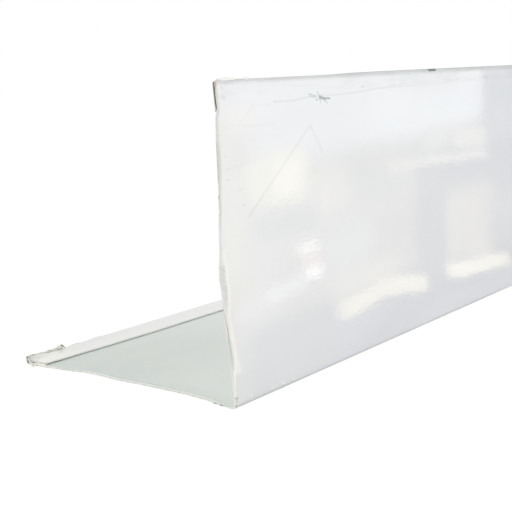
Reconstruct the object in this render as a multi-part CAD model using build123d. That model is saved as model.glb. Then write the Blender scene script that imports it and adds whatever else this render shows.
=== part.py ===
# Angle flashing: one length of pre-painted steel sheet, folded to a right angle along its
# heel. The free edge of each leg is turned back on the inside as an open safety hem.
# +X runs along the length and +Z is up. One leg lies flat, and the other stands at its
# front edge with the painted side towards -Y. The origin is under the part, at the middle
# of the lying leg. The end at -X was cut by hand, and the one at +X is square.
import os

from build123d import *

# Sheet and folds, in millimetres
length = 1000.0
leg_height = 100.0
leg_width = 100.0
sheet = 0.5
heel_inside_radius = 0.8
hem_gap = 0.8
standing_hem = 9.5
lying_hem = 12.5

# Hand-cut end: how far the cut line lies back from its own farthest point, at the heel and
# at shares of each leg's size from there. The last one is the leg's hemmed edge.
heel_setback = 3.8
standing_setbacks = [(0.2, 2.6), (0.4, 0.0), (0.6, 1.35), (0.85, 2.3), (1.0, 1.9)]
lying_setbacks = [(0.1, 4.7), (0.25, 6.7), (0.5, 6.3), (0.74, 6.9), (0.88, 4.3), (1.0, 3.3)]
cutter_margin = 2.0

# Both come from the sheet: the outside of a hem's fold, and the outside of the heel
nose_radius = sheet + hem_gap / 2
heel_radius = heel_inside_radius + sheet


def fold_line(depth):
    """One side of the section, at a depth under the painted face: flats with bends between."""
    place = Vector(leg_width - lying_hem, 2 * nose_radius - depth)
    heading = Vector(1, 0)
    folds = [
        (lying_hem - nose_radius, nose_radius, 180),
        (leg_width - nose_radius - heel_radius, heel_radius, 90),
        (leg_height - heel_radius - nose_radius, nose_radius, 180),
    ]
    edges = []
    for flat, radius, turn in folds:
        run = Line(place, place + heading * flat)
        bend = JernArc(run @ 1, run % 1, radius - depth, -turn)
        place, heading = bend @ 1, bend % 1
        edges += [run, bend]
    return edges + [Line(place, place + heading * (standing_hem - nose_radius))]


def section():
    """The closed outline of the folded sheet, from its painted side to its back-coated one."""
    painted = fold_line(0)
    backed = fold_line(sheet)
    free_edges = [Line(painted[0] @ 0, backed[0] @ 0), Line(painted[-1] @ 1, backed[-1] @ 1)]
    return make_face(painted + backed + free_edges)


def waste(leg, setbacks):
    """What the hand cut takes off one leg, drawn as (along the length, away from the heel)."""
    reach = 2 * nose_radius + cutter_margin
    cut_line = Spline(
        (heel_setback, reach),
        *[(setback, share * leg) for share, setback in setbacks],
        tangents=[(0, 1), (0, 1)],
    )
    hemmed_edge = cut_line @ 1
    frame = Polyline(
        hemmed_edge,
        (hemmed_edge.X, leg + cutter_margin),
        (-2 * cutter_margin, leg + cutter_margin),
        (-2 * cutter_margin, -cutter_margin),
        (heel_setback, -cutter_margin),
        cut_line @ 0,
    )
    return extrude(make_face([cut_line, *frame.edges()]), reach, both=True)


# The stock is folded a little long, then cut by hand across both legs
stock = Pos(-cutter_margin, 0, 0) * extrude(Plane.YZ * section(), length + cutter_margin)
standing_waste = Plane.XZ * waste(leg_height, standing_setbacks)
lying_waste = waste(leg_width, lying_setbacks)
flashing = Pos(-length / 2, -leg_width / 2, 0) * (stock - (standing_waste + lying_waste))

os.makedirs("parts", exist_ok=True)
export_step(flashing, "parts/angle_flashing.step")
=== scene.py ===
import math
import random

import bmesh
import bpy
from mathutils import Matrix, Vector, noise


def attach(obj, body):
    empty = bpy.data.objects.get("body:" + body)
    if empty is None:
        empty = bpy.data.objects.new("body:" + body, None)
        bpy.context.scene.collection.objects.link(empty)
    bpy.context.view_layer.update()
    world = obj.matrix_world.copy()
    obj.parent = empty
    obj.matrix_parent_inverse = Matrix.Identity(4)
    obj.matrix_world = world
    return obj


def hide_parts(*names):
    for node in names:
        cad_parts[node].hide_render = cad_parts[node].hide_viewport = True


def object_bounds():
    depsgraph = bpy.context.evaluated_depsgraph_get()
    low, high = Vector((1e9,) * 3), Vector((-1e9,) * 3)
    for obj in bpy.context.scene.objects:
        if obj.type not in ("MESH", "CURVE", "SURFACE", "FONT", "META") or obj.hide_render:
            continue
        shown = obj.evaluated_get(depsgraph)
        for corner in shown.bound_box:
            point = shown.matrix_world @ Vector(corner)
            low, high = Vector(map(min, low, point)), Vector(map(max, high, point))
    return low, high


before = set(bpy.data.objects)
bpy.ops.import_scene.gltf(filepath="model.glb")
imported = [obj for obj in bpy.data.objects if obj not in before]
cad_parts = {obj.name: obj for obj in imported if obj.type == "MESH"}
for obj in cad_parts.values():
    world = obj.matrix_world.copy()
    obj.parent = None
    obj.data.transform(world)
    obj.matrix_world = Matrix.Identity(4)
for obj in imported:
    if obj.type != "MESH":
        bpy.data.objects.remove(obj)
low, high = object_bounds()
random.seed(5)

# The part's own frame: x runs along the flashing from its cut end, y runs from the painted
# face of the standing leg to the hem of the lying leg, and z is up from the floor.
mm = 0.001
cutMean = 2.7  # how far the mean of the cut line lies from the farthest point, in millimetres
cutEnd = low.x + cutMean * mm
frontFace = low.y


def spot(x, y, z):
    # a place in millimetres from the cut end, the painted face and the floor
    return Vector((cutEnd + x * mm, frontFace + y * mm, z * mm))


def smooth(start, end, value):
    share = min(1.0, max(0.0, (value - start) / (end - start)))
    return share * share * (3 - 2 * share)


def between(points, at):
    # a gentle curve through (place, value) points
    for (start, before), (end, after) in zip(points, points[1:]):
        if at <= end:
            return before + (after - before) * smooth(start, end, at)
    return points[-1][1]


def chain(points, width):
    # straight strokes from point to point
    return [(start, end, width) for start, end in zip(points, points[1:])]


# Material arithmetic

class Wire:
    # one output of a node, so that sums on it can be written as plain arithmetic
    def __init__(self, tree, socket):
        self.tree = tree
        self.socket = socket

    def add(self, kind, settings=None, sockets=None, output=0):
        # any node: its settings first, then the values or links of its sockets
        node = self.tree.nodes.new("ShaderNode" + kind)
        for name, value in (settings or {}).items():
            setattr(node, name, value)
        for name, value in (sockets or {}).items():
            if isinstance(value, Wire):
                self.tree.links.new(value.socket, node.inputs[name])
            else:
                node.inputs[name].default_value = value
        return Wire(self.tree, node.outputs[output])

    def outputs(self, *names):
        # several outputs of this wire's own node
        return [Wire(self.tree, self.socket.node.outputs[name]) for name in names]

    def sum(self, operation, *values):
        return self.add("Math", {"operation": operation}, dict(enumerate(values)))

    def vector(self, operation, *values, output=0):
        return self.add("VectorMath", {"operation": operation}, dict(enumerate(values)), output)

    def scaled(self, factor):
        return self.add("VectorMath", {"operation": "SCALE"}, {0: self, "Scale": factor})

    def __add__(self, other):
        return self.sum("ADD", self, other)

    __radd__ = __add__

    def __sub__(self, other):
        return self.sum("SUBTRACT", self, other)

    def __rsub__(self, other):
        return self.sum("SUBTRACT", other, self)

    def __mul__(self, other):
        return self.sum("MULTIPLY", self, other)

    __rmul__ = __mul__

    def __truediv__(self, other):
        return self.sum("DIVIDE", self, other)

    def __rtruediv__(self, other):
        return self.sum("DIVIDE", other, self)

    def step(self, start, end):
        # 0 before start, 1 after end, smooth in between
        sockets = {0: self, 1: start, 2: end, 3: 0.0, 4: 1.0}
        return self.add("MapRange", {"interpolation_type": "SMOOTHSTEP"}, sockets)

    def within(self, start, end, soft):
        return self.step(start - soft, start + soft) * (1 - self.step(end - soft, end + soft))

    def least(self, other):
        return self.sum("MINIMUM", self, other)

    def most(self, other):
        return self.sum("MAXIMUM", self, other)

    def blend(self, share, other):
        # this colour turning into another one; a Mix node's colours are its sockets 6 and 7
        sockets = {0: share, 6: self, 7: (*other, 1)}
        return self.add("Mix", {"data_type": "RGBA"}, sockets, 2)

    def noise(self, size, detail, stretch=(1, 1, 1)):
        # cloudy values about 0.5, whose lumps are about size millimetres across
        place = self.vector("MULTIPLY", self, [1 / (size * part) for part in stretch])
        return self.add("TexNoise", {}, {"Vector": place, "Scale": 1.0, "Detail": detail})

    def axes(self):
        return self.add("SeparateXYZ", {}, {0: self}).outputs(0, 1, 2)

    def bump(self, height):
        # the normal of a relief whose height is in millimetres
        return self.add("Bump", {}, {"Height": height, "Distance": mm, "Strength": 1.0})

    def strokes(self, lines, core=0.3):
        # how far inside the nearest of some straight strokes a place is, from 0 to 1;
        # core is the share of the width that is full
        flatPlace = self.vector("MULTIPLY", self, (1, 0, 1))
        leastRun = 0.001  # so that a stroke always has a length to divide by
        mask = None
        for (x0, z0), (x1, z1), width in lines:
            start, run = Vector((x0, 0, z0)), Vector((x1 - x0, 0, z1 - z0 + leastRun))
            away = flatPlace.vector("SUBTRACT", flatPlace, tuple(start))
            share = away.vector("DOT_PRODUCT", away, tuple(run), output=1) / run.length_squared
            reach = share.most(0.0).least(1.0)
            nearest = reach.add("VectorMath", {"operation": "SCALE"}, {0: tuple(run), "Scale": reach})
            distance = away.vector("DISTANCE", away, nearest, output=1)
            line = 1 - distance.step(width * core, width)
            mask = line if mask is None else mask.most(line)
        return mask


def newMaterial(name):
    # a material, its shader, its places in millimetres and how far they are from the cut
    material = bpy.data.materials.new(name)
    material.use_nodes = True
    tree = material.node_tree
    start = Wire(tree, None)
    objectPlace = start.add("TexCoord", output="Object")
    place = objectPlace.vector("SUBTRACT", objectPlace, tuple(spot(0, 0, 0))).scaled(1 / mm)
    fromCut = start.add("Attribute", {"attribute_name": "fromCut"}, output="Fac")
    return material, tree.nodes["Principled BSDF"], place, fromCut


def plain(wire, colour):
    # one colour as the start of a chain of blends
    start = wire.add("RGB")
    start.socket.default_value = (*colour, 1)
    return start


def hairlines(place):
    # thin streaks that run along the sheet
    return place.noise(0.5, 2, stretch=(60, 1, 1))


def feed(shader, **links):
    for name, wire in links.items():
        wire.tree.links.new(wire.socket, shader.inputs[name.replace("_", " ")])


def finishWith(surface):
    # makes a shader wire the surface that is seen
    surface.tree.links.new(surface.socket, surface.tree.nodes["Material Output"].inputs[0])


# The camera, at the photograph's place: millimetres, degrees and a lens in millimetres

view = {
    "place": (-218.3, -189.4, 99.5), "azimuth": -50.81, "elevation": 10.18, "roll": -2.74,
    "lens": 69.46, "nearest": 0.01,
}


def makeCamera():
    camera = bpy.data.objects.new("camera", bpy.data.cameras.new("camera"))
    bpy.context.collection.objects.link(camera)
    azimuth, elevation = math.radians(view["azimuth"]), math.radians(view["elevation"])
    back = Vector((math.sin(azimuth) * math.cos(elevation), -math.cos(azimuth) * math.cos(elevation),
                   math.sin(elevation)))
    right = Vector((math.cos(azimuth), math.sin(azimuth), 0))
    turn = Matrix((right, back.cross(right), back)).transposed()
    roll = Matrix.Rotation(math.radians(view["roll"]), 3, "Z")
    camera.matrix_world = Matrix.Translation(spot(*view["place"])) @ (turn @ roll).to_4x4()
    camera.data.lens = view["lens"]
    camera.data.clip_start = view["nearest"]
    bpy.context.scene.camera = camera


makeCamera()
print("camera set")


# The finishes

# parts of the cut up the standing leg: from, to and how softly, in millimetres
cutParts = {
    "clean": (43, 58, 3), "cracked": (15.3, 33, 2), "highCrack": (70, 82, 2), "highBareAndShaded": (70, 81, 3),
}

topCoat = {
    "colour": (0.825, 0.83, 0.835), "shade": (0.79, 0.795, 0.80), "aged": (0.785, 0.785, 0.76),
    "cream": (0.85, 0.835, 0.78), "grimeAndShade": (0.56, 0.57, 0.56), "edgeShade": (0.40, 0.44, 0.435),
    "scratch": (0.60, 0.61, 0.62), "mark": (0.13, 0.16, 0.14), "dust": (0.80, 0.77, 0.72),
    "glint": (0.90, 0.91, 0.91), "edge": (0.60, 0.615, 0.585), "primer": (0.91, 0.885, 0.845),
    "rough": (0.735, 0.735, 0.70), "pit": (0.58, 0.60, 0.57), "stain": (0.40, 0.30, 0.17),
    "roughness": 0.035, "mattRoughness": 0.7, "mattShine": 0.15,
    # the peel and the sag of the paint, how deep and how wide, and the sizes of its patches
    "peel": 0.0085, "peelSize": 1.4, "sag": 0.012, "sagSize": 8,
    "speckSize": 0.9, "cloudSize": 35, "smearAndShadeSize": 4, "patchSize": 6, "dustSize": 1.6, "wornSize": 40,
    "drawn": (3, 1, 1),  # the patches are longer along the sheet
    # between which two places each thing comes or goes: across, up or along the sheet
    "frontDepth": (0.5, 1.0), "lyingHem": (78, 82), "hemEnd": (2, 22),
    "rimDepth": (98.2, 98.9), "rimHeight": (0.9, 1.4),
    "smearAndShade": (93.8, 95.4), "smearAndShadeAlong": (40, 110), "crown": (97.6, 99.2), "crownAlong": (30, 90),
    "topShadeLine": (99.2, 99.5), "topDepth": (0.12, 0.4), "topAlong": (20, 160),
    "heel": (0.4, 1.9), "heelShadeLine": (0.3, 0.95), "heelDepth": (2, 5),
    "wavyThins": (85, 125), "wavyEnds": (150, 330), "pitted": (33, 36), "bareAndShadedAbove": (10, 15),
    "cornerAlong": (4, 26), "cornerUp": (6, 22),
    "dusty": (0.8, 3.4), "bareAndShaded": (0.3, 1.2), "highBareAndShaded": (0.9, 1.8),  # these by distance from the cut
    # strokes on the front face: start, end and width in millimetres
    "peak": chain([(11.9, 58.3), (45.3, 83.6), (51.9, 74.4)], 0.8),
    "wavy": chain([(26.1, 92.1), (37.2, 92.1), (43.1, 92.7), (47.4, 93.2), (55.2, 92.9), (61.6, 92.9),
                   (76.1, 93.3), (86.6, 94.0), (97.6, 94.1), (117.3, 94.0), (128.3, 94.3), (161.4, 94.7),
                   (330, 94.9)], 0.5),
    "fine": [
        ((16, 91.5), (11.3, 87.9), 0.55), ((11.3, 87.9), (8.5, 86), 0.3), ((15.5, 91.3), (25, 91.6), 0.35),
        *chain([(5.3, 86.4), (16.3, 85.4), (26.9, 85.3)], 0.38),
        *chain([(2.1, 73.4), (12, 74.5), (18.5, 75.1)], 0.42),
    ],
    "smudges": [
        ((76.2, 94.9), (78, 95), 0.7), ((94.5, 95.0), (99, 94.6), 0.55), ((102, 94.7), (107, 95.3), 0.55),
        ((137, 95.3), (143, 95.2), 0.7), ((146, 95.5), (150, 95.4), 0.8), ((170, 95.8), (175, 95.5), 0.7),
    ],
    "starArms": [
        ((45.0, 93.8), (49.3, 92.6), 0.42), ((45.6, 93.1), (48, 92.5), 0.3),
        ((49.8, 94.2), (51.5, 92.7), 0.4), ((49.0, 91.7), (51.5, 91.8), 0.42),
        ((53.4, 91.8), (55.5, 90.3), 0.4), ((51.7, 91.5), (51.3, 90.6), 0.28),
    ],
    "starHeart": [((51.0, 92.5), (54.2, 91.8), 0.72), ((54.6, 92.0), (56.9, 91.8), 0.46)],
    "dots": [
        ((1.9, 77.3), (2.2, 77.3), 0.55), ((2.4, 70.4), (3.3, 70.3), 0.5), ((8, 66.8), (8.7, 66.8), 0.55),
        ((9.2, 62.0), (9.8, 62.0), 0.6), ((101.4, 13.2), (102.2, 13.2), 0.6),
        ((1.9, 94.8), (2.9, 94.3), 1.0), ((3.4, 98.6), (4.2, 98.5), 0.5),
        ((6.0, 98.6), (6.8, 98.5), 0.5), ((1.9, 97.2), (2.4, 97.0), 0.8),
    ],
    "topSpecks": [((9.6, 99.8), (12.4, 99.8), 0.35), ((15, 99.8), (16.6, 99.8), 0.3)],
    "nick": [((124.5, 99.7), (129.5, 99.7), 0.8)],
    # in what order they are drawn, how much grain breaks them up, how strongly, and in what colour
    "faceMarks": [
        ("peak", (0.05, 0.4), 0.26, "scratch"), ("fine", (0.3, 0.7), 0.22, "scratch"),
        ("dots", (0.2, 0.6), 0.36, "scratch"), ("smudges", (0.3, 0.6), 0.42, "scratch"),
        ("wavy", (0.1, 0.5), 0.34, "scratch"), ("starArms", (0.3, 0.5), 0.34, "mark"),
        ("starHeart", (0.2, 0.45), 0.62, "mark"),
    ],
    # strokes measured from the cut itself
    "ridgeHighlight": [
        *chain([(1.5, 49.6), (1.5, 48), (2.4, 45.5), (2.8, 43.5), (2.9, 40.5), (2.5, 36), (1.9, 33),
                (1.2, 30), (0.9, 28)], 1.0),
        *chain([(0.9, 28), (1.3, 22), (1.4, 17.5)], 1.35),
        *chain([(0.9, 12), (0.5, 6), (0.4, 1.8)], 0.65),
    ],
    "torn": chain([(0.8, 44.5), (0.8, 40), (0.6, 35), (0.2, 29)], 1.15),
    "rolledEdgeGlint": [((1.4, 16.5), (1.6, 12), 1.6), ((1.8, 15.5), (3.1, 11.8), 1.9)],
    "heelMarks": [
        ((0.5, 3.6), (1.2, 3.2), 0.7), ((0.5, 2.6), (0.8, 2.3), 0.5), ((0.3, 1.4), (0.8, 1.1), 0.7),
    ],
    "cornerStains": [((0.1, 98.9), (0.3, 98.2), 0.6)],
    "cornerPale": [((0.9, 97.9), (1.3, 97.2), 0.7), ((1.5, 96.2), (1.6, 95.0), 0.5)],
}


def makeTopCoat():
    material, shader, place, fromCut = newMaterial("white_top_coat")
    x, y, z = place.axes()
    front = 1 - y.step(*topCoat["frontDepth"])
    cutPlace = place.add("CombineXYZ", {}, {0: fromCut, 2: z})
    specks = place.noise(topCoat["speckSize"], 3)
    cloud = place.noise(topCoat["cloudSize"], 4, topCoat["drawn"])
    colour = plain(place, topCoat["colour"]).blend(cloud.step(0.4, 0.7), topCoat["shade"])

    # the lying hem is a little yellowed, most of all at its end, and has painted shade where its rim turns
    # away
    lying = y.step(*topCoat["lyingHem"])
    colour = colour.blend(lying * 0.85, topCoat["aged"])
    colour = colour.blend(lying * (1 - x.step(*topCoat["hemEnd"])) * 0.7, topCoat["cream"])
    rim = y.step(*topCoat["rimDepth"]) * z.step(*topCoat["rimHeight"])
    colour = colour.blend(rim * 0.3, topCoat["edgeShade"])

    # grime and painted shade in patches along the top of the face and on the fold's crown, painted shade on
    # the bend at the heel, and thin lines of painted shade where the top and the heel turn away
    smearAndShade = z.step(*topCoat["smearAndShade"])
    smearAndShade = smearAndShade * place.noise(topCoat["smearAndShadeSize"], 4, topCoat["drawn"]).step(0.4, 0.7)
    smearAndShade = smearAndShade * (x.step(*topCoat["smearAndShadeAlong"]) * 0.12 + 0.12)
    crown = z.step(*topCoat["crown"]) * (x.step(*topCoat["crownAlong"]) * 0.15 + 0.65)
    heel = (1 - z.step(*topCoat["heel"])) * (1 - y.step(*topCoat["heelDepth"])) * 0.5
    uneven = place.noise(topCoat["patchSize"], 4, topCoat["drawn"]).step(0.25, 0.7) * 0.5 + 0.5
    colour = colour.blend(smearAndShade + (crown + heel) * uneven, topCoat["grimeAndShade"])
    topShadeLine = z.step(*topCoat["topShadeLine"]) * y.step(*topCoat["topDepth"])
    topShadeLine = topShadeLine * (x.step(*topCoat["topAlong"]) * 0.4 + 0.5)
    heelShadeLine = (1 - z.step(*topCoat["heelShadeLine"])) * (1 - y.step(*topCoat["heelDepth"])) * 0.62
    edgeShade = (topShadeLine + heelShadeLine) * (uneven * 0.4 + 0.6)
    colour = colour.blend(edgeShade, topCoat["edgeShade"])

    # hairlines, worn along the whole length, and the marks at the near end
    hair = hairlines(place).step(0.68, 0.78) * place.noise(topCoat["wornSize"], 2).step(0.5, 0.7)
    colour = colour.blend(hair * 0.12, topCoat["scratch"])
    fade = (1 - x.step(*topCoat["wavyThins"]) * 0.6) * (1 - x.step(*topCoat["wavyEnds"])) * front
    for name, grain, share, paint in topCoat["faceMarks"]:
        mask = place.strokes(topCoat[name]) * (fade if name == "wavy" else front)
        colour = colour.blend(mask * specks.step(*grain) * share, topCoat[paint])
    colour = colour.blend(place.strokes(topCoat["topSpecks"]) * 0.5, topCoat["mark"])
    colour = colour.blend(place.strokes(topCoat["nick"], 0.6) * 0.85, topCoat["mark"])

    # along the cut the film is torn, so that the primer and the dull metal show; painted shade and painted
    # highlights lie there too
    dusty = (1 - fromCut.step(*topCoat["dusty"])) * front
    dusty = dusty * place.noise(topCoat["dustSize"], 3).step(0.4, 0.65)
    colour = colour.blend(dusty * 0.5, topCoat["dust"])
    # painted shade in the low corner of the face beside the cut
    corner = (1 - x.step(*topCoat["cornerAlong"])) * (1 - z.step(*topCoat["cornerUp"])) * front
    colour = colour.blend(corner * 0.14, topCoat["grimeAndShade"])
    # a painted highlight, pale and bluish, low on the rolled edge beside the cut
    colour = colour.blend(cutPlace.strokes(topCoat["rolledEdgeGlint"], 0) * front * 0.75, topCoat["glint"])
    # darker along the cut, less so on the clean stretch and not at the foot, more so high up: dull metal
    # where the film is torn, and painted shade where the edge turns in
    bareAndShaded = (1 - fromCut.step(*topCoat["bareAndShaded"])) * front * (0.7 - z.within(*cutParts["clean"]) * 0.4)
    colour = colour.blend(bareAndShaded * z.step(*topCoat["bareAndShadedAbove"]), topCoat["edge"])
    highBareAndShaded = (1 - fromCut.step(*topCoat["highBareAndShaded"])) * z.within(*cutParts["highBareAndShaded"]) * front
    colour = colour.blend(highBareAndShaded * 0.6, topCoat["edge"])
    torn = cutPlace.strokes(topCoat["torn"], 0.6) * front
    pits = torn * specks.step(0.46, 0.58) * z.step(*topCoat["pitted"])
    colour = colour.blend(torn, topCoat["rough"]).blend(pits * 0.55, topCoat["pit"])
    # a painted highlight along the ridge of the rolled edge, in the cream of the primer
    ridgeHighlight = cutPlace.strokes(topCoat["ridgeHighlight"]) * front
    colour = colour.blend(ridgeHighlight * (specks * 0.6 + 0.4), topCoat["primer"])
    heelMarks = cutPlace.strokes(topCoat["heelMarks"]) * specks.step(0.25, 0.5)
    colour = colour.blend(heelMarks * 0.4, topCoat["mark"])
    colour = colour.blend(cutPlace.strokes(topCoat["cornerPale"]) * front * 0.6, topCoat["primer"])
    stains = cutPlace.strokes(topCoat["cornerStains"]) * specks.step(0.3, 0.55)
    colour = colour.blend(stains * 0.8, topCoat["stain"])

    # paint with a faint orange peel, and matt where torn film, grime, the painted shade and the painted
    # highlight lie
    height = place.noise(topCoat["peelSize"], 1, stretch=(2, 1, 0.85)) * topCoat["peel"]
    height = height + place.noise(topCoat["sagSize"], 1, stretch=(2.5, 1, 1)) * topCoat["sag"]
    feed(shader, Base_Color=colour, Normal=place.bump(height))
    shader.inputs["Roughness"].default_value = topCoat["roughness"]
    mattLook = {"Base Color": colour, "Roughness": topCoat["mattRoughness"],
                "Specular IOR Level": topCoat["mattShine"]}
    matt = place.add("BsdfPrincipled", {}, mattLook)
    dull = (ridgeHighlight + torn + crown * uneven + heel * uneven + edgeShade).least(1.0)
    finishWith(place.add("MixShader", {}, {0: dull, 1: Wire(place.tree, shader.outputs[0]), 2: matt}))
    return material


backCoat = {
    "colour": (0.60, 0.64, 0.60), "shade": (0.575, 0.62, 0.585), "wearAndLight": (0.72, 0.745, 0.72),
    "pale": (0.80, 0.83, 0.80), "shadeGreen": (0.44, 0.49, 0.42),
    "roughness": 0.38, "cloudSize": 18, "chipSize": 7, "grainSize": 0.7, "grain": 0.004,
    # between which two places each thing comes or goes: along, across or up the sheet
    "lighterAlong": (0, 110), "paleAcross": (4, 70), "paleUp": (1, 30), "floorOnly": (1, 3),
    "scuffed": (0.2, 1.6), "darkerNearCut": (1, 12), "pressed": (0.6, 1.1),  # these by distance from the cut
    # the pressed lip of the cut along the lying leg, and the line of painted shade beside it
    "lip": (8, 74, 6), "shadeLine": (1.1, 1.8, 0.4),
}


def makeBackCoat():
    material, shader, place, fromCut = newMaterial("grey_back_coat")
    cloud = place.noise(backCoat["cloudSize"], 4, stretch=(2, 1, 1))
    colour = plain(place, backCoat["colour"]).blend(cloud.step(0.35, 0.65), backCoat["shade"])
    x, y, z = place.axes()
    # painted light: the coat is made lighter further along from the cut
    colour = colour.blend(x.step(*backCoat["lighterAlong"]) * 0.75, backCoat["wearAndLight"])
    # painted light that lifts the shade in the inner corner at the heel
    heelCornerLight = (1 - y.step(*backCoat["paleAcross"])) * (1 - z.step(*backCoat["paleUp"]))
    colour = colour.blend(heelCornerLight * 0.6, backCoat["pale"])
    scuffs = hairlines(place).step(0.66, 0.76) * 0.25 + (1 - fromCut.step(*backCoat["scuffed"])) * 0.4
    colour = colour.blend(scuffs, backCoat["wearAndLight"])
    # a little darker again within a few millimetres of the cut
    colour = colour.blend((1 - fromCut.step(*backCoat["darkerNearCut"])) * 0.45, backCoat["colour"])
    # painted shade: a dark green line beside the lip of the cut, in patches, and the lip itself paler
    lip = (1 - z.step(*backCoat["floorOnly"])) * y.within(*backCoat["lip"])
    lineShade = fromCut.within(*backCoat["shadeLine"]) * lip
    lineShade = lineShade * place.noise(backCoat["chipSize"], 2).step(0.3, 0.6)
    colour = colour.blend(lineShade * 0.6, backCoat["shadeGreen"])
    colour = colour.blend((1 - fromCut.step(*backCoat["pressed"])) * lip * 0.7, backCoat["pale"])
    relief = place.bump(place.noise(backCoat["grainSize"], 3) * backCoat["grain"])
    feed(shader, Base_Color=colour, Roughness=cloud * 0.1 + backCoat["roughness"], Normal=relief)
    return material


cutMetal = {
    "colour": (0.68, 0.70, 0.66), "pale": (0.84, 0.83, 0.79), "rust": (0.27, 0.21, 0.13),
    "slitShadow": (0.012, 0.010, 0.006), "brown": (0.26, 0.18, 0.09), "painted": (0.92, 0.92, 0.90),
    "crack": (0.50, 0.48, 0.41), "cream": (0.96, 0.94, 0.87),
    "roughness": 0.5, "grain": 0.08, "grainSize": 0.8, "rustSize": 1.3, "rustPatches": 9,
    # between which two places each thing comes or goes: across or up the section
    "wall": (2, 4), "foot": (12, 14), "slitFront": (0.25, 0.45), "slitBack": (0.75, 1.0),
    "slitUp": (90.2, 92), "brownUp": (95, 98.5), "lyingHem": (84, 88),
    "sides": (1, 3), "farEnd": (996, 998),  # the folded sides and the far end, by distance from the cut
}


def makeCutEdge():
    material, shader, place, fromCut = newMaterial("cut_metal_edge")
    _, y, z = place.axes()
    grain = place.noise(cutMetal["grainSize"], 4)
    colour = plain(place, cutMetal["colour"]).blend(grain.step(0.4, 0.6), cutMetal["pale"])
    rust = place.noise(cutMetal["rustSize"], 3).step(0.6, 0.68)
    colour = colour.blend(rust * place.noise(cutMetal["rustPatches"], 2).step(0.42, 0.6), cutMetal["rust"])
    wall = 1 - y.step(*cutMetal["wall"])
    smoothCut = (z.within(*cutParts["clean"]) + 1 - z.step(*cutMetal["foot"])) * wall
    colour = colour.blend(smoothCut * 0.75, cutMetal["pale"])
    crack = (z.within(*cutParts["cracked"]) + z.within(*cutParts["highCrack"]) * 0.7) * wall
    colour = colour.blend(crack * 0.65, cutMetal["crack"])
    # the slit between the layers of the squashed hem is painted near black: painted shadow of the gap, with
    # the dark raw edges; its back part less so
    slitShadow = y.step(*cutMetal["slitFront"]) * (1 - y.step(*cutMetal["slitBack"]) * 0.6)
    slitShadow = slitShadow * z.step(*cutMetal["slitUp"])
    colour = colour.blend(slitShadow, cutMetal["slitShadow"])
    brown = slitShadow * z.step(*cutMetal["brownUp"]) * grain.step(0.3, 0.55)
    colour = colour.blend(brown * 0.9, cutMetal["brown"])
    colour = colour.blend(y.step(*cutMetal["lyingHem"]) * 0.9, cutMetal["cream"])
    painted = fromCut.step(*cutMetal["sides"]) * (1 - fromCut.step(*cutMetal["farEnd"]))
    colour = colour.blend(painted, cutMetal["painted"])
    feed(shader, Base_Color=colour, Normal=place.bump(grain * cutMetal["grain"]))
    shader.inputs["Roughness"].default_value = cutMetal["roughness"]
    return material


film = {
    "white": (0.84, 0.86, 0.88), "primer": (0.91, 0.885, 0.845), "pale": (0.88, 0.88, 0.83),
    "cream": (0.90, 0.86, 0.77), "dusty": (0.80, 0.785, 0.74), "stain": (0.33, 0.29, 0.20),
    "roughness": 0.35, "patchSize": 1.2, "stainSize": 0.8,
}


def makeFilm(name, colours, clean):
    # two colours in patches; clean says how much noise it takes before a stain shows
    material, shader, place, _ = newMaterial(name)
    patches = place.noise(film["patchSize"], 2).step(0.45, 0.6)
    colour = plain(place, film[colours[0]]).blend(patches, film[colours[1]])
    stains = place.noise(film["stainSize"], 3).step(clean, clean + 0.08)
    colour = colour.blend(stains * 0.9, film["stain"])
    feed(shader, Base_Color=colour)
    shader.inputs["Roughness"].default_value = film["roughness"]
    return material


# The folded sheet

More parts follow.
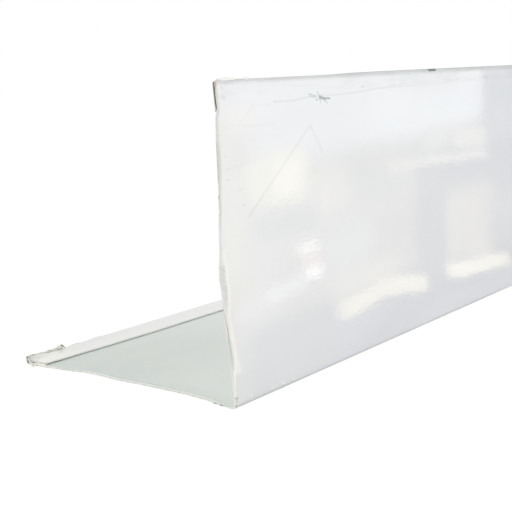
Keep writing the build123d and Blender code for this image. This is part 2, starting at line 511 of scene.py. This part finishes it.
sheet = {
    "thickness": 0.5, "hemGap": 0.8, "heelRadius": 1.3, "lyingHem": 12.5, "standingHem": 9.5,
    "flatStep": 0.85, "bendSteps": 9,
    # how far along, and in what steps up to there
    "stations": [(4, 0.25), (8, 0.5), (30, 1.4), (220, 5), (980, 20), (996, 4), (1000, 0.5)],
    # how far the cut lies from its mean line, by height up the standing leg
    "standingCut": [
        (0, 0.6), (9, 0.4), (17, 0.5), (25, -0.3), (31, -1.1), (36, -1.7), (42, -2.5), (51, -2.05),
        (57, -1.85), (63, -1.3), (68, -1.15), (81, -1.1), (89, -0.9), (91, -0.2), (94, -0.45), (97, -0.7),
        (100, -0.85),
    ],
    # and by distance from the heel along the lying leg
    "lyingCut": [
        (0, 0.6), (6, 1.2), (10, 2.0), (13, 2.75), (16, 3.1), (24, 3.7), (42, 3.5), (55, 2.9), (64, 3.4),
        (72, 3.3), (78, 2.0), (84, 1.4), (91, 0.5), (100, -0.2),
    ],
    "cutFade": 25,  # how far behind the cut the sheet is stretched to meet it
    "jag": 0.12, "standingJag": 0.6, "jagSize": 1.6, "fineJag": 0.6, "fineness": 2.3,
    # how far the cut edge of the standing leg is bent in, by height
    "rolled": [
        (0, 0.0), (6, 0.05), (14, 0.25), (24, 0.45), (33, 0.95), (42, 0.8), (50, 0.3), (60, 0.12),
        (100, 0.1),
    ],
    "rollLength": 1.7, "rollPower": 1.2, "rollAbove": (1, 4),
    # how much flatter the shears left the standing hem, and along what length that goes
    "squash": 0.39, "squashAlong": (4, 28),
    # how low the top edge lies, by distance from the cut, and how far down the hem that reaches
    "topDrop": [
        (0, 0.85), (0.8, 0.4), (2, 0.1), (5, 0.12), (12, 0.36), (30, 0.42), (58, 0.4), (78, 0.08), (100, 0),
        (1000, 0),
    ],
    "dropReach": (7, 0.5),
    "returnTrim": 0.15, "trimDepth": (0.4, 1.2),  # how much shorter the standing hem's return is cut
    # the lying hem's return: how much narrower it is, how far it is pressed down, and how far
    # its nose stands up, by distance from the cut
    "narrow": [(0, 3.3), (5, 3.15), (10, 2.95), (18, 2.75), (36, 1.9), (60, 1.0), (120, 0.6), (1000, 0.3)],
    "press": [(0, 0.9), (0.5, 0.85), (1.6, 0.55), (16, 0.64), (30, 0.68), (1000, 0.69)],
    "nose": [
        (0, 1.05), (6, 0.75), (11, 0.3), (17, 0.2), (25, 0.35), (35, 0.36), (60, 0.2), (120, 0.08),
        (1000, 0),
    ],
    "noseReach": (5, 1.2), "hemTop": 3, "hemMargin": 1,
    # where the pinched end is, how steep its return is there, and how much shorter its nose
    "pinchAlong": (0.5, 9), "pinchSlope": (0.02, 0.22), "pinchNose": 2.6,
    "wave": 0.2, "waveSize": 90, "waveAcross": 1.4, "waveMiddle": 0.6,
}


def flat(bm, edge, run, step):
    count = max(1, round(run.length / step))
    for _ in range(count):
        made = bmesh.ops.extrude_edge_only(bm, edges=edge)["geom"]
        verts = {item for item in made if isinstance(item, bmesh.types.BMVert)}
        bmesh.ops.translate(bm, verts=list(verts), vec=run / count)
        edges = [item for item in made if isinstance(item, bmesh.types.BMEdge)]
        edge = [item for item in edges if verts.issuperset(item.verts)]
    return edge


def bend(bm, edge, centre, degrees):
    geometry = edge + list({vert for item in edge for vert in item.verts})
    made = bmesh.ops.spin(bm, geom=geometry, cent=centre, axis=(1, 0, 0), dvec=(0, 0, 0),
                          angle=math.radians(degrees), steps=sheet["bendSteps"], use_duplicate=False)
    return [item for item in made["geom_last"] if isinstance(item, bmesh.types.BMEdge)]


def cutLine(y, z):
    # where the hand cut runs at a place of the section, in millimetres from its mean
    line = between(sheet["standingCut"], z) if z > y else between(sheet["lyingCut"], y)
    place = Vector((y, z, 0)) / sheet["jagSize"]
    jag = sheet["jag"] * (sheet["standingJag"] if z > y else 1)
    return line + jag * (noise.noise(place) + sheet["fineJag"] * noise.noise(place * sheet["fineness"]))


def shaped(place):
    # the straight folded sheet as it was cut and handled
    fromCut, y, z = (place.x - low.x) / mm, (place.y - frontFace) / mm, place.z / mm
    nearCut = 1 - smooth(0, sheet["cutFade"], fromCut)
    x = fromCut + (cutLine(y, z) + cutMean) * nearCut
    full = (high.z - low.z) / mm
    nose = sheet["thickness"] + sheet["hemGap"] / 2
    waveMiddle = full * sheet["waveMiddle"]
    middle = smooth(0, waveMiddle, max(y, z)) * smooth(full, waveMiddle, max(y, z))

    # the lying hem: its return is pressed down, and the nose stands open beside the cut
    if nose < z < sheet["hemTop"] and y > full - sheet["lyingHem"] - sheet["hemMargin"]:
        along = (full - nose - y) / (sheet["lyingHem"] - nose)
        pinch = 1 - smooth(*sheet["pinchAlong"], fromCut)
        slope = smooth(0, 1, along) * (1 - pinch) + smooth(*sheet["pinchSlope"], along) * pinch
        noseStart, noseEnd = sheet["noseReach"]
        z -= between(sheet["press"], fromCut) * slope
        rise = smooth(full - noseStart + sheet["pinchNose"] * pinch, full - noseEnd, y)
        z += between(sheet["nose"], fromCut) * rise
        y += between(sheet["narrow"], fromCut) * max(0.0, along)

    # the standing hem: the shears left it flatter, and its corner low
    if z > full - sheet["standingHem"] - sheet["hemMargin"]:
        dropStart, dropEnd = sheet["dropReach"]
        x += sheet["returnTrim"] * smooth(*sheet["trimDepth"], y) * nearCut
        y *= 1 - sheet["squash"] * (1 - smooth(*sheet["squashAlong"], fromCut))
        z -= between(sheet["topDrop"], fromCut) * smooth(full - dropStart, full - dropEnd, z)

    # the edge is rolled in along the cut, and the walls are a little wavy
    near = max(0.0, 1 - fromCut / sheet["rollLength"]) ** sheet["rollPower"]
    y += between(sheet["rolled"], z) * near * smooth(*sheet["rollAbove"], z)
    wavePlace = Vector((x, z * sheet["waveAcross"], y * sheet["waveAcross"])) / sheet["waveSize"]
    ripple = sheet["wave"] * middle * (1 + noise.noise(wavePlace))
    if z > y:
        y += ripple
    else:
        z += ripple
    return Vector((low.x + x * mm, frontFace + y * mm, z * mm))


def makeSheet():
    bm = bmesh.new()
    thick, radius = sheet["thickness"] * mm, sheet["heelRadius"] * mm
    nose = thick + sheet["hemGap"] * mm / 2
    tip = bm.verts.new((low.x, high.y - sheet["lyingHem"] * mm, 2 * nose))
    reached = 0
    for end, step in sheet["stations"]:
        count = round((end - reached) / step)
        for _ in range(count):
            tip = bmesh.ops.extrude_vert_indiv(bm, verts=[tip])["verts"][0]
            bmesh.ops.translate(bm, verts=[tip], vec=((end - reached) / count * mm, 0, 0))
        reached = end
    step = sheet["flatStep"] * mm
    edge = list(bm.edges)
    edge = flat(bm, edge, Vector((0, sheet["lyingHem"] * mm - nose, 0)), step)
    edge = bend(bm, edge, (0, high.y - nose, nose), -180)
    edge = flat(bm, edge, Vector((0, low.y + nose + radius - high.y, 0)), step)
    edge = bend(bm, edge, (0, low.y + radius, radius), -90)
    edge = flat(bm, edge, Vector((0, 0, high.z - nose - radius)), step)
    edge = bend(bm, edge, (0, low.y + nose, high.z - nose), -180)
    flat(bm, edge, Vector((0, 0, nose - sheet["standingHem"] * mm)), step)
    bmesh.ops.remove_doubles(bm, verts=bm.verts, dist=0.01 * mm)
    bmesh.ops.recalc_face_normals(bm, faces=bm.faces)

    # the faces have to point outwards, as the largest one of the painted face shows
    outer = max(bm.faces, key=lambda face: face.calc_area() * (face.calc_center_median().y < low.y + thick))
    if outer.normal.y > 0:
        bmesh.ops.reverse_faces(bm, faces=bm.faces)
    fromCut = bm.verts.layers.float.new("fromCut")
    for vert in bm.verts:
        vert[fromCut] = (vert.co.x - low.x) / mm
        vert.co = shaped(vert.co)
    piece = addPiece("folded_sheet", bm, makeTopCoat(), makeBackCoat(), makeCutEdge())
    wall = piece.modifiers.new("wall", "SOLIDIFY")
    wall.thickness = thick
    wall.offset = -1
    wall.use_even_offset = True
    wall.material_offset = 1
    wall.material_offset_rim = 2
    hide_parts("angle_flashing")


def addPiece(name, bm, *materials):
    for face in bm.faces:
        face.smooth = True
    mesh = bpy.data.meshes.new(name)
    bm.to_mesh(mesh)
    bm.free()
    piece = bpy.data.objects.new(name, mesh)
    bpy.context.collection.objects.link(piece)
    for material in materials:
        mesh.materials.append(material)
    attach(piece, "root")
    return piece


makeSheet()
print("sheet folded")


# Torn film and burrs along the cut, the hem and the heel

debris = {
    "thickness": 0.12, "segments": (12, 3),
    "crumple": 0.12, "ragged": 0.6, "pointed": 2.5, "narrowest": 0.05,
    # torn leaves of the film: place, length, width, arch, turn about the three axes in degrees
    "hemLeaves": [
        ((2.6, 99.5, 2.75), 5.2, 0.8, 0.15, (75, 3, 2)), ((6.6, 99.5, 2.5), 5.0, 0.7, 0.15, (70, 3, -2)),
        ((10.4, 99.5, 2.4), 4.6, 0.9, 0.2, (72, 2, 3)), ((13.6, 99.4, 2.4), 3.6, 1.0, 0.3, (66, 0, -4)),
        ((23, 99.5, 1.95), 6.0, 0.5, 0.1, (70, 0, 0)), ((34, 99.5, 1.95), 8.0, 0.4, 0.1, (70, 0, 0)),
        ((-0.25, 91.2, 0.95), 6.6, 0.75, 0.12, (82, 0, 86)),
    ],
    "curlShade": [((16.6, 98.8, 2.95), 2.3, 0.55, 0.0, (70, 38, 0))],
    "sliver": [((-1.1, 0.75, 25.0), 8.0, 0.5, 0.3, (90, 83, 0))],
}


def leaf(bm, place, length, width, arch, turn):
    alongCount, acrossCount = debris["segments"]
    verts = bmesh.ops.create_grid(bm, x_segments=alongCount, y_segments=acrossCount, size=0.5)["verts"]
    shift = random.uniform(0, 50)
    for vert in verts:
        along, across = vert.co.x * 2, vert.co.y * 2
        ragged = 1 + debris["ragged"] * noise.noise(Vector((along * 4 + shift, across, 0)))
        taper = math.sqrt(max(debris["narrowest"], 1 - abs(along) ** debris["pointed"]))
        crumple = debris["crumple"] * noise.noise(Vector((along * 3, across * 2, shift)))
        lift = arch * (1 - along * along) * (across + 1) / 2 + crumple
        vert.co = Vector((along * length / 2, across * width / 2 * taper * ragged, lift))
    for angle, axis in zip(turn, "XYZ"):
        rotation = Matrix.Rotation(math.radians(angle), 3, axis)
        bmesh.ops.rotate(bm, verts=verts, cent=(0, 0, 0), matrix=rotation)
    bmesh.ops.scale(bm, verts=verts, vec=(mm, mm, mm))
    bmesh.ops.translate(bm, verts=verts, vec=spot(*place))


def makeLeaves(name, leaves, material):
    bm = bmesh.new()
    for place, length, width, arch, turn in leaves:
        leaf(bm, place, length, width, arch, turn)
    bmesh.ops.recalc_face_normals(bm, faces=bm.faces)
    piece = addPiece(name, bm, material)
    wall = piece.modifiers.new("film", "SOLIDIFY")
    wall.thickness = debris["thickness"] * mm
    wall.offset = 0


# small burrs: place and size in millimetres
burrs = {
    "pale_burrs": [((-0.9, 94.9, 0.42), (2.2, 2.0, 0.7)), ((15.4, 99.2, 2.85), (3.2, 1.0, 1.9))],
    "corner_flap": [((4.8, 0.35, 99.7), (8.0, 1.0, 1.15))],
    "white_chips": [
        ((13.8, 0.35, 99.65), (2.2, 0.8, 1.0)), ((8.7, 0.05, 2.2), (1.3, 0.3, 0.5)),
        ((19.5, 0.05, 1.8), (1.8, 0.35, 0.7)), ((25.2, 0.05, 1.8), (2.0, 0.35, 0.8)),
        ((30.5, 0.05, 1.6), (1.6, 0.3, 0.5)),
    ],
    "brown_specks": [
        ((-0.3, 98.9, 2.75), (0.8, 0.9, 0.8)), ((-1.2, 94.6, 0.75), (0.6, 0.6, 0.35)),
        ((0.2, 96.4, 1.2), (0.7, 1.8, 0.25)), ((10.3, 99.5, 2.6), (1.1, 0.4, 0.3)),
        ((2.6, 99.4, 3.0), (0.7, 0.4, 0.25)), ((24.5, 0.1, 1.15), (0.8, 0.25, 0.4)),
        ((1.4, 9.2, 0.3), (0.4, 0.9, 0.35)), ((1.1, 6.2, 0.3), (0.4, 1.0, 0.35)),
    ],
}
burrShape = {"subdivisions": 3, "lumps": 0.35, "lumpsAcross": 3}


def makeBurrs(name, material):
    bm = bmesh.new()
    for place, size in burrs[name]:
        subdivisions = burrShape["subdivisions"]
        verts = bmesh.ops.create_icosphere(bm, subdivisions=subdivisions, radius=0.5)["verts"]
        shift = Vector((random.uniform(0, 50), 0, 0))
        for vert in verts:
            vert.co *= 1 + burrShape["lumps"] * noise.noise(vert.co * burrShape["lumpsAcross"] + shift)
        bmesh.ops.scale(bm, verts=verts, vec=[part * mm for part in size])
        bmesh.ops.translate(bm, verts=verts, vec=spot(*place))
    addPiece(name, bm, material)


tornFilm = makeFilm("torn_film", ("pale", "cream"), 0.76)
rustAndShadow = makeFilm("rust_and_shadow", ("stain", "stain"), 0.3)
makeLeaves("hem_flakes", debris["hemLeaves"], tornFilm)
# a dark leaf as the painted shadow inside the curl on the hem
makeLeaves("curl_shade", debris["curlShade"], rustAndShadow)
makeLeaves("edge_sliver", debris["sliver"], makeFilm("dusty_film", ("dusty", "dusty"), 0.7))
makeBurrs("pale_burrs", makeFilm("pale_film", ("pale", "cream"), 0.9))
makeBurrs("corner_flap", makeFilm("primer_film", ("primer", "primer"), 0.9))
makeBurrs("white_chips", makeFilm("white_film", ("white", "white"), 0.9))
makeBurrs("brown_specks", rustAndShadow)
print("edges roughened")


# The floor, the room and the light

room = {
    "level": 0.86, "floorSize": 20, "floorWhite": (0.9, 0.9, 0.9, 1), "floorGlow": 1.03, "floorShare": 0.9,
    # the card that the gloss sees: how far in front of the face it stands, half its width, the
    # light of its bare wall, and how fast its light falls off along the face
    "reach": 1.2, "cardSize": 3, "base": (0.0, 0.15, 0.45), "dimming": 0.0063,
    # soft windows seen in the gloss of the front face: along and up it in millimetres, how soft
    # their edges are that way, rise over the width, and their light
    "windows": [
        ((-900, -50), (-300, 400), (10, 9), 0, (1.15, 1.1, 1.0)),  # beside the cut end
        ((118, 500), (-40, 11), (30, 6), 0, (0.8, 1.0, 1.3)),  # pale ground, far off
        ((-60, 112), (24, 74), (7, 5), 0, (1.15, 1.1, 0.95)),  # grey wall
        ((52, 98), (25, 35), (7, 4), 0, (2.0, 1.8, 1.4)),
        ((50, 78), (36, 51), (8, 6), 0, (1.8, 1.9, 1.85)),
        ((64, 100), (56, 69), (12, 6), -3, (0.8, 0.98, 0.7)),  # green
        ((138, 181), (21, 51.5), (6, 6), 0, (1.85, 1.65, 1.4)),
        ((161, 180), (18, 33), (6, 5), 0, (2.25, 2.0, 1.65)),
        ((114, 136), (16, 61), (4, 5), 0, (0.1, 0.25, 0.4)),  # dark post
        ((-60, 170), (66.5, 140), (2, 5), 8.9, (2.7, 3.0, 3.2)),  # sky
        ((86, 169), (78, 140), (12, 6), 0, (3.1, 3.4, 3.6)),
        ((62, 150), (92, 140), (12, 4), 0, (2.35, 2.6, 2.8)),
        ((-60, 58), (66.5, 140), (30, 4), 5.3, (1.9, 2.1, 2.3)),
        ((-60, 11), (33, 60), (4, 5), 0, (1.35, 1.3, 0.65)),
        ((-60, 15), (58, 88), (5, 5), 0, (1.5, 1.45, 1.0)),
        ((4, 16), (80, 89), (3, 3), 0, (2.2, 2.1, 1.7)),
        ((10, 13.5), (84.5, 86.5), (2, 1.5), 0, (2.9, 2.8, 2.3)),
        ((-60, 7), (90, 140), (7, 3), 0, (1.0, 1.1, 1.25)),
        ((114, 144), (66.5, 73), (7, 2.5), 0, (1.5, 1.6, 1.4)),
        ((120, 142), (71, 77), (7, 3), 0, (2.2, 2.35, 2.3)),
        ((146, 176), (66.5, 75), (5, 3), -2, (2.5, 2.35, 2.1)),
        ((177, 500), (68, 140), (7, 6), 0, (0.5, 0.7, 1.0)),
        ((177, 500), (20, 48), (7, 8), 0, (0.75, 0.8, 0.95)),
        ((46, 64), (56, 66), (4, 3), 0, (2.0, 1.8, 1.4)),
        ((15, 43), (61, 73), (3.5, 4), 0, (2.6, 2.45, 1.65)),  # sunlit wall
        ((27, 41), (61.5, 71), (3.5, 3.5), 0, (3.6, 3.3, 2.2)),
        ((16, 46), (50.5, 58.5), (4, 3), 1, (0.5, 0.6, 0.55)),
        ((12, 50), (-60, 21), (8, 9), 6, (0.0, 0.05, 0.1)),  # dark below
        ((-60, 7), (-60, 38), (5, 9), 0, (0.7, 0.6, 0.3)),
        ((-60, 10), (-60, 14), (5, 6), 0, (0.4, 0.4, 0.35)),
        ((36, 46), (43.2, 47.4), (2.6, 1.9), 1, (4.1, 3.85, 3.4)),
        ((36, 48.5), (38.7, 43.2), (1.5, 1.2), 0, (2.6, 1.7, 1.6)),
        ((38.7, 47.2), (35.4, 39.4), (1.9, 1.6), 0, (4.8, 4.7, 4.5)),
    ],
    # bright bars: strokes on the face, how much of their width is full, and their light
    "bars": [
        (chain([(6, 30.5), (15.2, 32.6), (21, 33.4)], 4.6), 0, (1.5, 1.6, 1.4)),
        (chain([(21, 33.4), (27.8, 34.2), (37, 35.6)], 4.6), 0, (2.5, 2.65, 2.45)),
        (chain([(91, 64.4), (105, 64.5), (119, 64.4)], 1.8), 0.2, (2.4, 2.25, 1.9)),
        (chain([(119, 64.4), (129, 64.1), (142.5, 64), (149.2, 62.9), (163.8, 63.1), (175, 62.1)], 2.0),
         0.2, (2.8, 2.6, 2.2)),
        (chain([(59.5, 20.6), (66.5, 20.5)], 5.2), 0.35, (2.9, 2.6, 1.9)),
        (chain([(66.5, 20.5), (74.4, 21.1), (82.5, 21.9), (87, 22.4), (95.2, 21.3)], 5.2),
         0.35, (3.5, 3.1, 2.2)),
        (chain([(95.2, 21.3), (104, 20.5), (109, 19.3), (117, 17.8)], 5.0), 0.35, (3.8, 3.4, 2.5)),
        (chain([(139.6, 19.4), (150, 17.5)], 4.9), 0.35, (4.2, 3.9, 3.0)),
        (chain([(150, 17.5), (161, 17.4), (173, 17.2)], 4.9), 0.35, (4.9, 4.5, 3.5)),
        (chain([(173, 17.2), (186, 16.2), (191, 15.8)], 5.2), 0.3, (4.6, 4.2, 3.3)),
    ],
    # where each lamp is, what it is turned to, its width and height in metres, and its power
    "lamps": {
        "front_softbox": ((0.1, -1.8, 1.5), (-0.1, -0.05, 0.05), (1.6, 1.2), 9),
        "back_softbox": ((0.3, 1.5, 1.3), (-0.1, 0.0, 0.0), (1.6, 1.2), 5),
        "side_softbox": ((-1.7, 0.9, 0.8), (-0.4, 0.0, 0.0), (1.2, 1.0), 5),
    },
}


def makeWorld():
    # a studio that is white to the eye and a little dimmer as a light
    world = bpy.data.worlds.new("studio")
    bpy.context.scene.world = world
    world.use_nodes = True
    tree = world.node_tree
    background = tree.nodes["Background"]
    rays = Wire(tree, None).add("LightPath")
    fromEye, fromGloss, fromGlass = rays.outputs("Is Camera Ray", "Is Glossy Ray", "Is Transmission Ray")
    seen = fromEye.most(fromGloss).most(fromGlass)
    background.inputs["Color"].default_value = (1, 1, 1, 1)
    feed(background, Strength=seen * (1 - room["level"]) + room["level"])


def addStage(name, bm, material):
    mesh = bpy.data.meshes.new(name)
    bm.to_mesh(mesh)
    bm.free()
    mesh.materials.append(material)
    piece = bpy.data.objects.new(name, mesh)
    bpy.context.collection.objects.link(piece)
    return piece


def makeFloor():
    material, shader, place, _ = newMaterial("pale_floor")
    shader.inputs["Base Color"].default_value = room["floorWhite"]
    shader.inputs["Roughness"].default_value = 1.0
    shader.inputs["Specular IOR Level"].default_value = 0.0
    cameraRay = place.add("LightPath", output="Is Camera Ray")
    glow = place.add("Emission", {}, {"Strength": room["floorGlow"]})
    surfaces = {0: cameraRay * room["floorShare"], 1: Wire(place.tree, shader.outputs[0]), 2: glow}
    finishWith(place.add("MixShader", {}, surfaces))
    bm = bmesh.new()
    bmesh.ops.create_grid(bm, x_segments=1, y_segments=1, size=room["floorSize"])
    floor = addStage("floor", bm, material)
    floor.visible_glossy = False


def makeRoomCard():
    # what the gloss of the painted face shows: a dim wall with soft windows, seen in
    # reflections alone
    material = bpy.data.materials.new("room_card")
    material.use_nodes = True
    tree = material.node_tree
    tree.nodes.remove(tree.nodes["Principled BSDF"])

    # each place of the card is named by the place of the face that mirrors it to the camera
    eye = spot(*view["place"])
    eye.y = 2 * frontFace - eye.y
    wall = frontFace - room["reach"]
    grown = (eye.y - wall) / (eye.y - frontFace)
    objectPlace = Wire(tree, None).add("TexCoord", output="Object")
    away = objectPlace.vector("SUBTRACT", objectPlace, tuple(eye)).scaled(1 / grown / mm)
    place = away.vector("ADD", away, ((eye.x - cutEnd) / mm, 0, eye.z / mm))
    x, _, z = place.axes()
    colour = plain(place, room["base"])
    for (x0, x1), (z0, z1), (softX, softZ), rise, light in room["windows"]:
        slope = rise / (x1 - x0)
        level = z - (x - x0) * slope
        colour = colour.blend(x.within(x0, x1, softX) * level.within(z0, z1, softZ), light)
    for lines, core, light in room["bars"]:
        colour = colour.blend(place.strokes(lines, core), light)
    strength = 1 / (1 + x.most(0.0) * room["dimming"])
    finishWith(place.add("Emission", {}, {"Color": colour, "Strength": strength}))

    bm = bmesh.new()
    bmesh.ops.create_grid(bm, x_segments=1, y_segments=1, size=room["cardSize"])
    upright = Matrix.Rotation(math.pi / 2, 3, "X")
    bmesh.ops.rotate(bm, verts=bm.verts, cent=(0, 0, 0), matrix=upright)
    bmesh.ops.translate(bm, verts=bm.verts, vec=(0, wall, 0))
    card = addStage("room_card", bm, material)
    card.visible_camera = False
    card.visible_diffuse = False
    card.visible_shadow = False
    card.visible_transmission = False


def makeLamp(name, place, target, size, power):
    data = bpy.data.lights.new(name, "AREA")
    data.shape = "RECTANGLE"
    data.size, data.size_y = size
    data.energy = power
    lamp = bpy.data.objects.new(name, data)
    bpy.context.collection.objects.link(lamp)
    lamp.location = place
    lamp.rotation_euler = (Vector(target) - Vector(place)).to_track_quat("-Z", "Y").to_euler()
    lamp.visible_camera = False
    lamp.visible_glossy = False


makeWorld()
makeFloor()
makeRoomCard()
for lampName, settings in room["lamps"].items():
    makeLamp(lampName, *settings)

bpy.context.scene.view_settings.view_transform = "Standard"

print("stage set")
